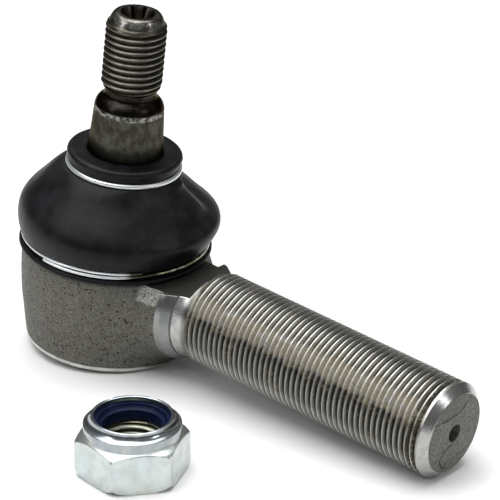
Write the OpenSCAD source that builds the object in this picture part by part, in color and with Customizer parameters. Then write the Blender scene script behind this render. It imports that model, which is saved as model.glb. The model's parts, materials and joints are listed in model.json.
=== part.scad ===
// Tie rod end. A forged steel housing, in one piece with its threaded shank, holds a ball stud
// between two plastic bearing seats. A rubber dust boot with a wire ring at each end seals the
// stud, and a loose nylon-insert lock nut belongs to the stud thread.
// Millimetres. z = 0 is the bottom rim of the housing, Z is the housing axis, X runs along
// the shank. The whole part rests on a table by its rim and the tip of its shank.

/* [Housing] */

// Radius of the housing just under the boot
housing_r = 21.9; // [21.7:0.05:22.1]
// Radius of the housing near its bottom rim
foot_r = 20.3; // [19.9:0.1:20.6]
// Height of the turned shoulder that the boot sits on
shoulder_z = 24.2; // [23.8:0.1:24.2]
// Height of the open top, inside the boot
mouth_z = 29.2; // [28.8:0.1:29.6]
// Radius of the bore that holds the bearing seats
bore_r = 16; // [15.8:0.05:16.2]

/* [Shank] */

// Height of the shank axis above the bottom rim
shank_z = 17.13; // [16.6:0.01:17.4]
// Thread radius of the shank, M22
shank_r = 11; // [10.8:0.05:11.2]
// Distance from the housing axis to the shank's end face
shank_end = 100.2; // [94:0.1:108]
// Thread pitch of the shank
shank_pitch = 1.5; // [1.25:0.25:2]
// Radius of the neck where the turned part of the shank begins
neck_r = 12.75; // [12.3:0.05:13]

/* [Stud] */

// Height of the ball centre
ball_z = 15.5; // [15.4:0.05:15.6]
// Ball radius
ball_r = 12; // [11.6:0.1:12.2]
// Thread radius of the stud, M14
stud_r = 7; // [6.8:0.05:7.1]
// Thread pitch of the stud
stud_pitch = 1.5; // [1.25:0.25:2]
// Distance from the ball centre to the stud's end face
stud_len = 66.8; // [64:0.1:70]
// Lean of the stud at rest, in degrees
stud_lean = 1.95; // [0:0.05:2.5]
// Direction of that lean, in degrees from X towards Y
lean_dir = 35; // [0:5:90]

/* [Boot] */

// Largest radius of the boot's belly
belly_r = 23.75; // [23.3:0.05:24]
// Wall thickness of the rubber
boot_wall = 1.6; // [1.2:0.1:1.8]
// Radius of the flat flange at the top of the boot
flange_r = 13.4; // [13:0.1:14]
// Wire thickness of the two rings
wire_d = 0.96; // [0.9:0.01:1]

/* [Lock nut] */

// Width across the flats of the nut
nut_af = 22; // [21.6:0.1:22.4]
// Height of the whole nut
nut_h = 13.6; // [13.4:0.1:14.6]
// Place of the nut along X
nut_x = 48; // [46:0.5:52]
// Place of the nut along Y
nut_y = -43.5; // [-50:0.5:-42]

/* [Hidden] */

$fn = 96;

// Running clearance of ball and seats, and the gap of a rubber lip on steel
fit_gap = 0.05;
// Table slope in the part's own frame: the shank tip and the rim both touch the table
rim_r = 19.12;
table_tilt = atan2(shank_z - shank_r, shank_end - 2 - rim_r);
nut_lift = (nut_x - rim_r) * tan(table_tilt);
// Thread details
shank_thread_x = 32.1;
undercut_r = 10.4;
facing_r = 31.5;
thread_depth = 0.6134;
// Wire ring places, measured along the axis they sit on
upper_ring_s = 29.55;
upper_ring_r = 12.75;
lower_ring_z = 26.13;
lower_ring_r = 21.85;
// Taper of the stud, 1 : 8 on the diameter
taper_top_r = 8.05;
taper_top_s = 43.9;
taper_end_s = 27.5;
stud_neck_r = 6.8;
boot_hold_r = taper_top_r + (taper_top_s - 31.3) / 16;

// Points from p to q on an arc that bulges by h to the left of the way there
function arc(p, q, h, n) =
    let (d = q - p, c = norm(d), r = (c * c / 4 + h * h) / (2 * abs(h)),
         m = (p + q) / 2, w = [-d[1], d[0]] / c * sign(h),
         o = m - w * (r - abs(h)),
         a = asin(min(1, c / 2 / r)), b = atan2(w[1], w[0]))
    [for (i = [0:n]) o + r * [cos(b + sign(h) * a * (1 - 2 * i / n)),
                              sin(b + sign(h) * a * (1 - 2 * i / n))]];

// Outline of a 60 degree thread as rings: [place, radius] of each corner
function thread(x0, x1, r, pitch) =
    let (deep = r - thread_depth * pitch, corner = [0.07, 0.424, 0.576, 0.93])
    [for (i = [0:floor((x1 - x0) / pitch) - 1], k = [0:3])
        [x0 + (i + corner[k]) * pitch, k == 1 || k == 2 ? deep : r]];

function swap(pts) = [for (p = pts) [p[1], p[0]]];

// Turns a part made upright about its own axis into the stud's rest direction
module on_stud(share = 1) {
    translate([0, 0, ball_z])
        rotate([0, 0, lean_dir])
            rotate([0, stud_lean * share, 0])
                children();
}

module along_shank() {
    translate([0, 0, shank_z])
        rotate([0, 90, 0])
            children();
}

module housing() {
    flank = arc([foot_r, 1.6], [housing_r, 20.5], -0.25, 6);
    rim = arc([rim_r - 0.3, 0], [foot_r, 1.6], -0.42, 4);
    collar_r = 20.2;
    lip_r = 15.5;
    shank = concat(
        [[0, 8], [11, 8], [neck_r, 24]],
        swap(arc([25.4, neck_r], [30.8, undercut_r], -0.35, 5)),
        [[undercut_r, 31.6], [shank_r, shank_thread_x + 0.5]],
        swap(thread(shank_thread_x + 0.5, shank_end - 2.6, shank_r, shank_pitch)),
        [[shank_r, shank_end - 2], [9.2, shank_end - 0.1], [9.1, shank_end], [0, shank_end]]);
    color([0.42, 0.41, 0.39])
    difference() {
        union() {
            rotate_extrude()
                polygon(concat(
                    [[0, 0]], rim, flank,
                    [[housing_r, shoulder_z - 0.4], [housing_r - 0.4, shoulder_z],
                     [collar_r, shoulder_z], [collar_r, 25.4], [collar_r - 0.8, 25.8],
                     [collar_r - 0.8, 27.5], [collar_r, 27.9], [collar_r, mouth_z - 0.5],
                     [collar_r - 0.5, mouth_z], [0, mouth_z]]));
            difference() {
                along_shank() {
                    rotate_extrude()
                        polygon(shank);
                    translate([0, 0, 14])
                        cylinder(h = 11, r1 = 15.6, r2 = neck_r);
                }
                // The cut that faces the shoulder also clips the top of the neck
                translate([0, 0, shoulder_z])
                    cylinder(h = 20, r = facing_r);
            }
        }
        // Room for the cover plate, the bearing seats and the swinging stud
        rotate_extrude()
            polygon([[0, -1], [lip_r, -1], [lip_r, 1.15], [lip_r + 1.6, 1.15],
                     [lip_r + 1.6, 3.05], [bore_r, 3.05], [bore_r, 19], [11.6, 22.6],
                     [11.6, 23], [14.2, mouth_z + 0.1], [0, mouth_z + 0.1]]);
        // Lathe centre in the shank's end
        translate([shank_end - 2.6, 0, shank_z])
            rotate([0, 90, 0]) {
                cylinder(h = 3, r = 0.7);
                translate([0, 0, 0.5])
                    cylinder(h = 2.2, r1 = 0.7, r2 = 2);
            }
    }
}

module ball_stud() {
    thread_s = 49.0;
    chamfer_s = stud_len - 3.6;
    color([0.2, 0.2, 0.19])
    on_stud()
    difference() {
        union() {
            intersection() {
                sphere(r = ball_r, $fn = 128);
                translate([0, 0, -10.9])
                    cylinder(h = 24, r = 13);
            }
            rotate_extrude()
                polygon(concat(
                    [[0, 6], [stud_neck_r, 6]],
                    [for (t = [0:0.25:1])
                        [stud_neck_r + 2.27 * (1 - cos(180 * t)) / 2, 13 + 14.5 * t]],
                    [[taper_top_r, taper_top_s], [taper_top_r - 0.12, taper_top_s + 0.6],
                     [taper_top_r - 0.6, taper_top_s + 1.6], [6.15, 46.9], [6, 47.6],
                     [6, thread_s - 0.6], [stud_r, thread_s + 0.4]],
                    swap(thread(thread_s + 0.4, chamfer_s - 0.2, stud_r, stud_pitch)),
                    [[stud_r, chamfer_s], [6.5, stud_len - 2.2], [5.35, stud_len],
                     [0, stud_len]]));
        }
        // Serrated conical socket that holds the stud still while the nut is turned
        translate([0, 0, stud_len - 4.2]) {
            cylinder(h = 4.3, r1 = 1.6, r2 = 3.5);
            for (a = [0:45:315])
                rotate([0, 0, a])
                    translate([1.2, -0.42, 0.6])
                        rotate([0, 24, 0])
                            cube([1.5, 0.84, 5]);
        }
    }
}

// The two halves of the plastic bearing around the ball
module upper_ball_seat() {
    color([0.88, 0.87, 0.82])
    difference() {
        rotate_extrude()
            polygon([[5, ball_z + 0.2], [bore_r - fit_gap, ball_z + 0.2],
                     [bore_r - fit_gap, 18.95], [12.9, 21.4], [5, 21.4]]);
        translate([0, 0, ball_z])
            sphere(r = ball_r + fit_gap, $fn = 128);
    }
}

module lower_ball_seat() {
    color([0.88, 0.87, 0.82])
    difference() {
        rotate_extrude()
            polygon([[8, 4.45], [14.6, 4.45], [bore_r - fit_gap, 5.8],
                     [bore_r - fit_gap, ball_z - 0.2], [8, ball_z - 0.2]]);
        translate([0, 0, ball_z])
            sphere(r = ball_r + fit_gap, $fn = 128);
    }
}

// Conical spring washer that pushes the lower seat up against the ball
module preload_spring() {
    color([0.35, 0.36, 0.38])
    rotate_extrude()
        polygon([[9.2, 3.55], [15.1, 3.1], [15.2, 3.85], [9.3, 4.4]]);
}

// Dished disc, held by the rolled rim of the housing
module cover_plate() {
    r = 17.05;
    color([0.62, 0.62, 0.6])
    rotate_extrude()
        polygon([[0, 0.45], [7.6, 0.45], [10, 1.25], [r, 1.25], [r, 3], [9.4, 3],
                 [7, 2.2], [0, 2.2]]);
}

module dust_boot() {
    hold_z = 20.25;
    top = flange_r;
    color([0.035, 0.036, 0.04])
    union() {
        // Lip and ring groove, clamped on the housing's collar
        rotate_extrude()
            polygon([[hold_z, 24.25], [22.2, 24.25], [22.65, 24.6], [22.65, 25.1],
                     [22.3, 25.5], [21.3, 25.7], [21.3, 27.5], [22.5, 27.8], [22.9, 28.6],
                     [23.1, 29.4], [21.6, 29.6], [21.1, 28.7], [hold_z, 28.5]]);
        // Belly, leaning half as far as the stud
        on_stud(0.5)
            rotate_extrude()
                polygon(concat(
                    arc([22.6, 28.3 - ball_z], [22.9, 34.6 - ball_z], -1, 8),
                    arc([22.9 - boot_wall, 34.2 - ball_z], [22.6 - boot_wall, 28.6 - ball_z],
                        0.9, 8)));
        // Cone, ring groove and flange, leaning with the stud
        on_stud()
            rotate_extrude()
                polygon(concat(
                    arc([22.95, 34.2 - ball_z], [17.5, 39.6 - ball_z], -0.7, 5),
                    arc([17.5, 39.6 - ball_z], [13.2, 44.2 - ball_z], 0.35, 5),
                    [[12.3, upper_ring_s - 0.6], [12.25, upper_ring_s + 0.6],
                     [top - 0.3, upper_ring_s + 0.9], [top, upper_ring_s + 1.3],
                     [top, 48.2 - ball_z], [top - 0.3, 48.5 - ball_z],
                     [boot_hold_r + 0.06, 48.5 - ball_z], [boot_hold_r + 0.3, 44 - ball_z],
                     [10.8, 43.2 - ball_z]],
                    arc([11.4, 43.4 - ball_z], [15.9, 38.9 - ball_z], -0.35, 5),
                    arc([15.9, 38.9 - ball_z], [22.95 - boot_wall, 33.6 - ball_z], 0.7, 5)));
    }
}

module boot_upper_ring() {
    color([0.8, 0.81, 0.82])
    on_stud()
        translate([0, 0, upper_ring_s])
            rotate_extrude()
                translate([upper_ring_r, 0])
                    circle(d = wire_d, $fn = 24);
}

// Two turns of the same wire, side by side
module boot_lower_ring() {
    color([0.8, 0.81, 0.82])
    for (z = [lower_ring_z, lower_ring_z + 0.93])
        translate([0, 0, z])
            rotate_extrude()
                translate([lower_ring_r, 0])
                    circle(d = wire_d, $fn = 24);
}

module on_table() {
    translate([nut_x, nut_y, nut_lift])
        rotate([0, -table_tilt, 0])
            rotate([0, 0, -7.4])
                children();
}

module lock_nut() {
    hex_r = nut_af / 2 / cos(30);
    hex_h = 9.4;
    hole_r = 6.19;
    insert_r = 9.1;
    color([0.7, 0.72, 0.76])
    on_table()
    difference() {
        union() {
            intersection() {
                cylinder(h = hex_h, r = hex_r, $fn = 6);
                rotate_extrude()
                    polygon([[0, 0], [11.3, 0], [hex_r + 0.1, 0.9], [hex_r + 0.1, 8.3],
                             [10.6, hex_h], [0, hex_h]]);
            }
            rotate_extrude()
                polygon(concat([[0, hex_h - 0.4], [10.5, hex_h - 0.4]],
                               arc([10.6, nut_h - 2.2], [8.6, nut_h], -0.5, 4),
                               [[8.25, nut_h - 0.5], [8.25, nut_h - 1.4], [0, nut_h - 1.4]]));
        }
        // Threaded hole, then the pocket of the insert
        translate([0, 0, -1])
            cylinder(h = 20, r = hole_r);
        rotate_extrude()
            polygon([[0, -0.1], [7.4, -0.1], [hole_r - 0.1, 1.1], [0, 1.1]]);
        translate([0, 0, 9.5])
            cylinder(h = nut_h - 1.35 - 9.5, r = insert_r);
    }
}

// Nylon ring, a little smaller inside than the thread it will grip
module nut_insert() {
    color([0.05, 0.12, 0.3])
    on_table()
        rotate_extrude()
            polygon([[6.7, 9.55], [9.05, 9.55], [9.05, nut_h - 1.45], [7, nut_h - 1.45],
                     [6.5, nut_h - 1.9], [6.5, 10]]);
}

housing();
ball_stud();
upper_ball_seat();
lower_ball_seat();
preload_spring();
cover_plate();
dust_boot();
boot_upper_ring();
boot_lower_ring();
lock_nut();
nut_insert();
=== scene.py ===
"""Tie rod end with its loose lock nut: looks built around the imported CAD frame.

Shapes are made in millimetres in the row frame (Z = housing axis, X = shank) and turned into
metres when a piece is made.
"""

import json
import math

import bmesh
import bpy
import numpy as np
from mathutils import Matrix, Vector


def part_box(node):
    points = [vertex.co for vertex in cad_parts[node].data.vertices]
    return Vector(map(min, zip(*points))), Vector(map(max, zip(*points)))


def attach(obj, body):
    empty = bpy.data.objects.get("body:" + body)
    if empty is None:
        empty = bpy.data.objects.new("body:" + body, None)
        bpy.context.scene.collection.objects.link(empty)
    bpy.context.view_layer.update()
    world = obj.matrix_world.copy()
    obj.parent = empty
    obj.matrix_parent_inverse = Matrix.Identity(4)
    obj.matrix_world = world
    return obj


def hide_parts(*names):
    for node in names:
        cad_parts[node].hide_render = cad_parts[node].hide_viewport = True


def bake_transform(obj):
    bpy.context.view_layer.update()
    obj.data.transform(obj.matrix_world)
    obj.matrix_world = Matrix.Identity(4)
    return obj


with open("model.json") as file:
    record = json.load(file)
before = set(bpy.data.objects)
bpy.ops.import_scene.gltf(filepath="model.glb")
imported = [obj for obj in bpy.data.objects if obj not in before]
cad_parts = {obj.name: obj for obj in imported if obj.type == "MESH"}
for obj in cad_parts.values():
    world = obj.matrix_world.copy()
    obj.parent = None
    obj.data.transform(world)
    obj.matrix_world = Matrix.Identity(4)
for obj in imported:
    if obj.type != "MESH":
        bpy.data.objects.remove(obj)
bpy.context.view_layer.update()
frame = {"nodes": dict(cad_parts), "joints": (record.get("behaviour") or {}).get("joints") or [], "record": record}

TAU = 2 * math.pi
MM = 0.001
MOUNTS = {m["name"]: m for m in frame["record"]["mounts"]}
JOINTS = {j["name"]: j for j in frame["joints"]}


# ---------------------------------------------------------------- places from the record


def axes_to(axis, origin):
    """4x4 that takes a shape made along +Z onto an axis of the row frame, in millimetres."""
    z = Vector(axis).normalized()
    x = Vector((1, 0, 0)) - z * z.x
    if x.length < 0.5:
        x = Vector((0, 1, 0)) - z * z.y
    x.normalize()
    y = z.cross(x)
    m = Matrix((x, y, z)).transposed().to_4x4()
    m.translation = Vector(origin)
    return np.array(m)


# Millimetres from here on
BALL = np.array(JOINTS["stud_tilt"]["pos_m"]) * 1000
STUD = axes_to(JOINTS["stud_spin"]["axis"], BALL)
SHANK_Z = MOUNTS["shank_thread"]["pos_m"][2] * 1000
SHANK_R = MOUNTS["shank_thread"]["dims"]["r_mm"]
STUD_R = MOUNTS["stud_thread"]["dims"]["r_mm"]
NUT_AXIS = np.array(JOINTS["nut_lift"]["axis"], float)
NUT_FOOT = np.array(MOUNTS["nut_thread"]["pos_m"]) * 1000 - NUT_AXIS
NUT = axes_to(NUT_AXIS, NUT_FOOT)
# Along the shank: local Z is +X, local X is +Y, local Y is +Z
SHANK = np.array([[0, 0, 1, 0], [1, 0, 0, 0], [0, 1, 0, SHANK_Z], [0, 0, 0, 1]], float)
SHANK_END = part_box("housing")[1].x * 1000
PITCH = 1.5
SHOULDER_Z = 24.2  # height of the faced shoulder
FACING_R = 31.5  # how far from the housing axis the facing tool cut
FOOT_R = 19.12
COLLAR_R = 20.2
RUN_OUT_R = 10.4  # the neck's hollow where the shank thread runs out
THREAD_FROM, THREAD_TO = 31.6, 98.35  # along the shank
STUD_THREAD_FROM, STUD_THREAD_TO = 48.15, 64.7  # along the stud, from the ball's centre
STUD_TOP = 66.84
NUT_THREAD_FROM, NUT_THREAD_TO = 0.1, 8.42  # up from the nut's foot


# ---------------------------------------------------------------- small maths


def smooth(a, b, x):
    t = np.clip((np.asarray(x, float) - a) / (b - a), 0, 1)
    return t * t * (3 - 2 * t)


def smin(a, b, k):
    h = np.clip(0.5 + 0.5 * (b - a) / k, 0, 1)
    return b + (a - b) * h - k * h * (1 - h)


def smax(a, b, k):
    return -smin(-a, -b, k)


def polar(r, a, z):
    """Points at radius r, angle a and height z, with x, y and z last."""
    return np.stack(np.broadcast_arrays(r * np.cos(a), r * np.sin(a), z), -1)


def round_angles(cols):
    return np.arange(cols) * TAU / cols


def angle_gap(a, b):
    """Signed difference of two angles, -pi to pi."""
    return (a - b + math.pi) % TAU - math.pi


def waves(p, scale, seed, count=7):
    """Smooth random field from a few seeded sine waves, about -1 to 1."""
    rng = np.random.default_rng(seed)
    out = np.zeros(p.shape[:-1])
    for _ in range(count):
        d = rng.normal(size=3)
        d *= TAU / (scale * rng.uniform(0.6, 1.6)) / np.linalg.norm(d)
        out += np.sin(p @ d + rng.uniform(0, TAU))
    return out / math.sqrt(count) / 1.4


def arc(p, q, bulge, n):
    """Points from p to q on a circular arc that bulges to the left of the way by bulge."""
    p, q = np.array(p, float), np.array(q, float)
    d = q - p
    c = np.linalg.norm(d)
    t = np.linspace(0, 1, n + 1)[:, None]
    if abs(bulge) < 1e-6:
        return p + d * t
    h = abs(bulge)
    r = (c * c / 4 + h * h) / (2 * h)
    side = np.array([-d[1], d[0]]) / c * np.sign(bulge)
    o = (p + q) / 2 - side * (r - h)
    a = math.asin(min(1, c / 2 / r))
    b = math.atan2(side[1], side[0])
    ang = b + np.sign(bulge) * a * (1 - 2 * t)
    return o + r * np.hstack([np.cos(ang), np.sin(ang)])


def chain(*parts):
    """Joins lists of points into one outline, dropping repeats."""
    pts = np.vstack([np.atleast_2d(np.array(p, float)) for p in parts])
    keep = np.r_[True, np.linalg.norm(np.diff(pts, axis=0), axis=1) > 1e-6]
    return pts[keep]


def dense(outline, step):
    """The outline with long straight stretches split into steps."""
    out = [outline[0]]
    for a, b in zip(outline[:-1], outline[1:]):
        n = max(1, int(math.ceil(np.linalg.norm(b - a) / step)))
        out += [a + (b - a) * (i + 1) / n for i in range(n)]
    return np.array(out)


# ---------------------------------------------------------------- mesh building


class Shape:
    """Collects grids of points, in millimetres, into one mesh."""

    def __init__(self):
        self.points, self.quads, self.slots, self.count = [], [], [], 0

    def grid(self, p, slot=0, wrap=True, shift=0, place=None):
        """p is rows x columns x 3. wrap joins the last column to the first, shift rows on."""
        rows, cols = p.shape[:2]
        if place is not None:
            p = p @ place[:3, :3].T + place[:3, 3]
        idx = np.arange(rows * cols).reshape(rows, cols) + self.count
        if wrap:
            last = idx[np.minimum(np.arange(rows) + shift, rows - 1), 0]
            idx = np.hstack([idx, last[:, None]])
        quads = np.stack([idx[:-1, :-1], idx[:-1, 1:], idx[1:, 1:], idx[1:, :-1]], -1)
        quads = quads.reshape(-1, 4)
        self.points.append(p.reshape(-1, 3))
        self.quads.append(quads)
        self.slots.append(np.full(len(quads), slot))
        self.count += rows * cols
        return self

    def turn(self, outline, slot=0, cols=240, place=None):
        """Surface of revolution of an outline of (radius, height) about +Z."""
        return self.grid(polar(outline[:, :1], round_angles(cols), outline[:, 1:2]), slot, place=place)

    def make(self, name, materials, sharp=35):
        co = np.vstack(self.points) * MM
        quads = np.vstack(self.quads).astype(np.int32)
        me = bpy.data.meshes.new(name)
        me.vertices.add(len(co))
        me.vertices.foreach_set("co", co.astype(np.float32).ravel())
        me.loops.add(quads.size)
        me.loops.foreach_set("vertex_index", quads.ravel())
        me.polygons.add(len(quads))
        me.polygons.foreach_set("loop_start", np.arange(0, quads.size, 4, dtype=np.int32))
        me.polygons.foreach_set("material_index", np.concatenate(self.slots).astype(np.int32))
        me.update(calc_edges=True)
        bm = bmesh.new()
        bm.from_mesh(me)
        bmesh.ops.remove_doubles(bm, verts=bm.verts, dist=4e-7)
        bmesh.ops.dissolve_degenerate(bm, dist=2e-7, edges=bm.edges)
        bmesh.ops.recalc_face_normals(bm, faces=bm.faces)
        bm.to_mesh(me)
        bm.free()
        me.shade_smooth()
        me.set_sharp_from_angle(angle=math.radians(sharp))
        for m in materials:
            me.materials.append(m)
        ob = bpy.data.objects.new(name, me)
        bpy.context.scene.collection.objects.link(ob)
        return ob


def helix(s0, s1, r, crest, a, inside=False):
    """Right-hand thread from s0 to s1 over the angles a: places along it, radii, and how many
    rows one turn moves on. crest is a place of a crest's middle at angle 0."""
    deep = 0.6134 * PITCH
    corners = [(-0.085, -0.04), (-0.045, 0), (0.045, 0), (0.085, -0.04), (0.25, -0.46),
               (0.4, -0.89), (0.45, -1), (0.55, -1), (0.6, -0.89), (0.75, -0.46)]
    if inside:
        corners = [(x, -1 - y) for x, y in corners]
    turns = range(math.floor((s0 - PITCH - crest) / PITCH) - 1, math.ceil((s1 - crest) / PITCH) + 1)
    u = np.array([crest + (k + x) * PITCH for k in turns for x, _ in corners])
    rad = np.array([r + y * deep for _ in turns for _, y in corners])
    s = np.clip(u[:, None] + PITCH * a / TAU, s0, s1)
    return s, rad[:, None] + 0 * s, len(corners)


# ---------------------------------------------------------------- material nodes


class Nodes:
    """Short-hand for building one material's node tree."""

    def __init__(self, name):
        self.mat = bpy.data.materials.new(name)
        self.mat.use_nodes = True
        self.tree = self.mat.node_tree
        self.bsdf = self.tree.nodes["Principled BSDF"]
        at = self.add("ShaderNodeTexCoord").outputs["Object"]
        # Row-frame coordinates in millimetres
        self.mm = self.add("ShaderNodeVectorMath", {"operation": "SCALE"}, i0=at, Scale=1000).outputs[0]
        self.xyz = self.add("ShaderNodeSeparateXYZ", i0=self.mm).outputs

    def add(self, kind, props=None, **inputs):
        """A node, with its inputs set or linked by name, or by number as i0, i1 and so on."""
        n = self.tree.nodes.new(kind)
        for k, v in (props or {}).items():
            setattr(n, k, v)
        for k, v in inputs.items():
            self.put(n.inputs[int(k[1:]) if k[0] == "i" and k[1:].isdigit() else k.replace("_", " ")], v)
        return n

    def put(self, socket, v):
        if isinstance(v, bpy.types.NodeSocket):
            self.tree.links.new(v, socket)
        elif v is not None:
            socket.default_value = v

    def math(self, op, a, b=None, clamp=False):
        return self.add("ShaderNodeMath", {"operation": op, "use_clamp": clamp}, i0=a, i1=b).outputs[0]

    def mul(self, a, b):
        return self.math("MULTIPLY", a, b)

    def all(self, first, *masks):
        """Product of masks: where all of them are."""
        for m in masks:
            first = self.mul(first, m)
        return first

    def plus(self, a, b, clamp=False):
        return self.math("ADD", a, b, clamp)

    def minus(self, a, b):
        return self.math("SUBTRACT", a, b)

    def sway(self, x, noise, amount, clamp=False):
        """x with a noise's swing about its middle added."""
        return self.plus(x, self.mul(self.minus(noise, 0.5), amount), clamp)

    def along(self, direction, start):
        """Millimetres along a direction, from start."""
        dot = self.add("ShaderNodeVectorMath", {"operation": "DOT_PRODUCT"}, i0=self.mm,
                       i1=tuple(direction))
        return self.minus(dot.outputs["Value"], start)

    def local(self, place):
        """Coordinates in millimetres in a placed shape's own frame."""
        inv = Matrix(np.linalg.inv(place).tolist())
        return [self.along(inv[row][:3], -inv[row][3]) for row in range(3)]

    def join(self, x, y, z):
        return self.add("ShaderNodeCombineXYZ", i0=x, i1=y, i2=z).outputs[0]

    def length2(self, a, b):
        return self.math("SQRT", self.plus(self.mul(a, a), self.mul(b, b)))

    def noise(self, scale, detail=4, rough=0.55, vector=None, distortion=0):
        return self.add("ShaderNodeTexNoise", Scale=scale, Detail=detail, Roughness=rough,
                        Distortion=distortion, Vector=vector or self.mm).outputs[0]

    def lines(self, scale, along, detail=2, rough=0.8):
        """Noise that varies along one number only, for turning marks."""
        return self.add("ShaderNodeTexNoise", {"noise_dimensions": "1D"}, W=along, Scale=scale,
                        Detail=detail, Roughness=rough).outputs[0]

    def cells(self, scale):
        """Distance to the nearest of a scatter of points."""
        return self.add("ShaderNodeTexVoronoi", Scale=scale, Vector=self.mm).outputs["Distance"]

    def step(self, x, a, b):
        """0 at a, 1 at b, smooth between."""
        return self.add("ShaderNodeMapRange", {"interpolation_type": "SMOOTHSTEP", "clamp": True},
                        i0=x, i1=a, i2=b, i3=0.0, i4=1.0).outputs[0]

    def near(self, x, at, far, full):
        """1 within full of a place, 0 beyond far."""
        return self.step(self.math("ABSOLUTE", self.minus(x, at)), far, full)

    def mix(self, f, a, b):
        """Mix of two colours."""
        return self.add("ShaderNodeMix", {"data_type": "RGBA"}, i0=f, i6=self.colour(a),
                        i7=self.colour(b)).outputs[2]

    def over(self, tone, mask, amount, colour):
        """A colour laid over a tone where the mask is, by an amount."""
        return self.mix(self.mul(mask, amount), tone, colour)

    def blend(self, f, a, b):
        """Mix of two numbers."""
        return self.add("ShaderNodeMix", {"data_type": "FLOAT"}, i0=f, i2=a, i3=b).outputs[0]

    @staticmethod
    def colour(c):
        return (*c, 1) if isinstance(c, tuple) and len(c) == 3 else c

    def bumps(self, *layers):
        """Bumps one on another, each a height, a depth in millimetres and a strength."""
        normal = None
        for height, distance, strength in layers:
            normal = self.add("ShaderNodeBump", Height=height, Strength=strength, Distance=distance * MM,
                              Normal=normal).outputs[0]
        return normal

    def surface(self, tone, rough, normal=None, metal=0.0, **others):
        """The finished material; others are named sockets of the shader."""
        others.update(Base_Color=tone, Roughness=rough, Normal=normal, Metallic=metal)
        for k, v in others.items():
            self.put(self.bsdf.inputs[k.replace("_", " ")], self.colour(v))
        return self.mat


# ---------------------------------------------------------------- housing, neck and shank

FORGED, RIM, FLAT, BORE, NECK, THREAD, CHAMFER, END, HOLE = range(9)  # material slots

# Height and radius of the forged side
FLANK = np.array([[0, FOOT_R], [0.22, 19.75], [0.6, 20.17], [1.1, 20.26], [3, 20.5], [5, 20.8],
                  [8.5, 21.22], [11, 21.55], [13.5, 21.74], [16, 21.86], [20.6, 22.0],
                  [23.6, 22.0], [24.2, 21.85], [27, 21.8]])
# Two trimmed planes: a point on each and its outward direction
FLASH = np.array([21.5, -11.35, 22.5])
FLASH_N = np.array([0.1, -0.86, 0.5])
FAR = np.array([24.0, 8.75, 24.2])
FAR_N = np.array([0.0, 0.75, 0.66])


def boss_end(y, z):
    """Where the forged boss stops and the turned neck starts."""
    p = np.stack([0 * y, y, z], -1)
    return 25.75 + 0.22 * waves(p, 5.0, 11) + 0.1 * waves(p, 1.6, 12) - 0.02 * (24.2 - z)


def body_field(x, y, z):
    """Below zero inside the forged body, the shoulder's cut left out."""
    shell = np.hypot(x, y) - np.interp(z, FLANK[:, 0], FLANK[:, 1])
    arm_r = np.interp(x, [6, 14, 25.4, 30], [16.4, 15.5, 12.85, 12.1])
    arm = np.hypot(y * 1.02, (z - SHANK_Z) * 1.01) - arm_r
    arm = np.where(x < 4, 9.0, arm)
    f = smin(shell, arm, 1.5 + 2.4 * smooth(21, 6, z) + 1.4 * smooth(0, 8, y) * smooth(20, 10, z))
    f = smax(f, x - boss_end(y, z), 0.3)
    p = np.stack([x + 0 * z, y + 0 * z, z + 0 * x], -1)
    f = smax(f, (p - FLASH) @ FLASH_N - 1.3 * np.maximum(19.5 - x, 0), 0.12)
    return smax(f, (p - FAR) @ FAR_N - 1.7 * np.maximum(19.8 - x, 0), 0.12)


def solve(inside, outside, at):
    """Bisection, for arrays, of where body_field turns positive."""
    for _ in range(26):
        mid = (inside + outside) / 2
        neg = body_field(*at(mid)) < 0
        inside = np.where(neg, mid, inside)
        outside = np.where(neg, outside, mid)
    return (inside + outside) / 2


def shoulder_height(x, y):
    """The faced flat, with the burr that the cut raised at the boss's far corner."""
    far = np.exp(-((x - 25.7) ** 2 + (y - 8.4) ** 2) / 0.3)
    near = np.exp(-((x - 25.5) ** 2 + (y + 10.2) ** 2) / 0.3)
    step = 0.1 * smooth(24.15, 23.95, np.hypot(x, y))
    return SHOULDER_Z + 0.14 * far + 0.12 * near - step


def forged_wall(shape, a):
    """Forged outside, along rays from a ring inside the wall, up to the shoulder's edge. Gives the
    edge's radius."""
    cx, cy = np.cos(a), np.sin(a)
    edge_z = np.full(a.shape, SHOULDER_Z)
    for _ in range(3):
        edge_r = solve(0 * a + 12, 0 * a + 32, lambda r: (r * cx, r * cy, edge_z))
        edge_z = shoulder_height(edge_r * cx, edge_r * cy)
    hub_r, hub_z = 8.0, 13.0
    lo = math.atan2(-hub_z, FOOT_R - hub_r)
    hi = np.arctan2(edge_z - hub_z, edge_r - hub_r)
    t = np.linspace(0, 1, 171)[:, None]
    phi = lo + (hi - lo) * t
    ux, uz = np.cos(phi), np.sin(phi)
    d = solve(0 * phi + 6, 0 * phi + 32,
              lambda q: ((hub_r + q * ux) * cx, (hub_r + q * ux) * cy, hub_z + q * uz))
    p = polar(hub_r + d * ux, a, hub_z + d * uz)
    skin = 0.045 * waves(p, 7.0, 3) + 0.022 * waves(p, 2.2, 4)
    skin *= smooth(0, 0.06, t) * smooth(1, 0.97, t)
    p += skin[..., None] * polar(ux, a, uz)
    p[0, :, 2] = 0
    p[-1] = polar(edge_r, a, edge_z)
    rim_rows = int(np.searchsorted(p[:, 300, 2], 0.95))
    shape.grid(p[:rim_rows + 1], RIM).grid(p[rim_rows:], FORGED)
    return edge_r


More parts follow.
